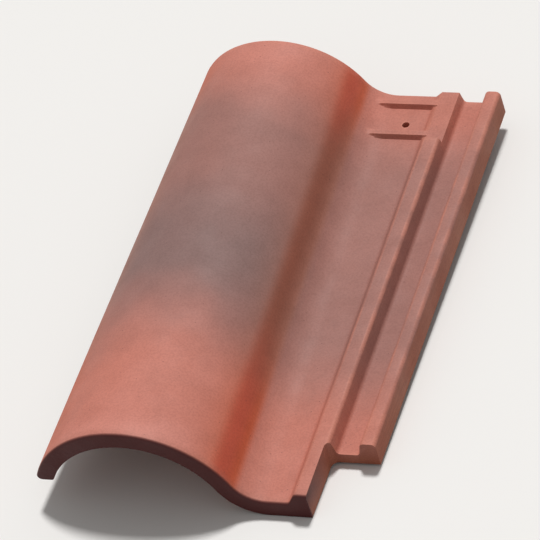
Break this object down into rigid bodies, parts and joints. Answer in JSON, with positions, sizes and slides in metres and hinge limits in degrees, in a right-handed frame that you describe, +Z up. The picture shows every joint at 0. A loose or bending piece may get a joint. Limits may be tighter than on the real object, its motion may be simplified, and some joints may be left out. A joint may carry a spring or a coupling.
{
  "type": "roof pantile",
  "caption": "Fired clay roof pantile with a tapered barrel roll, a narrow pan, a ribbed side lock, hanging nibs and a nail hole, for lapped and interlocked roof courses.",
  "frame": {"origin": "under the middle of the tile's box, on the floor that it lies on", "axes": "+Y from the tail up to the head, +X from the roll's free edge to the side lock, +Z up, with the weather side up"},
  "size_m": [0.2578, 0.4374, 0.0867],
  "materials": {
    "fired_clay": "matte, flamed from red-orange to grey-brown"
  },
  "bodies": {
    "root": {"pantile": "fired_clay"}
  },
  "joints": []
}
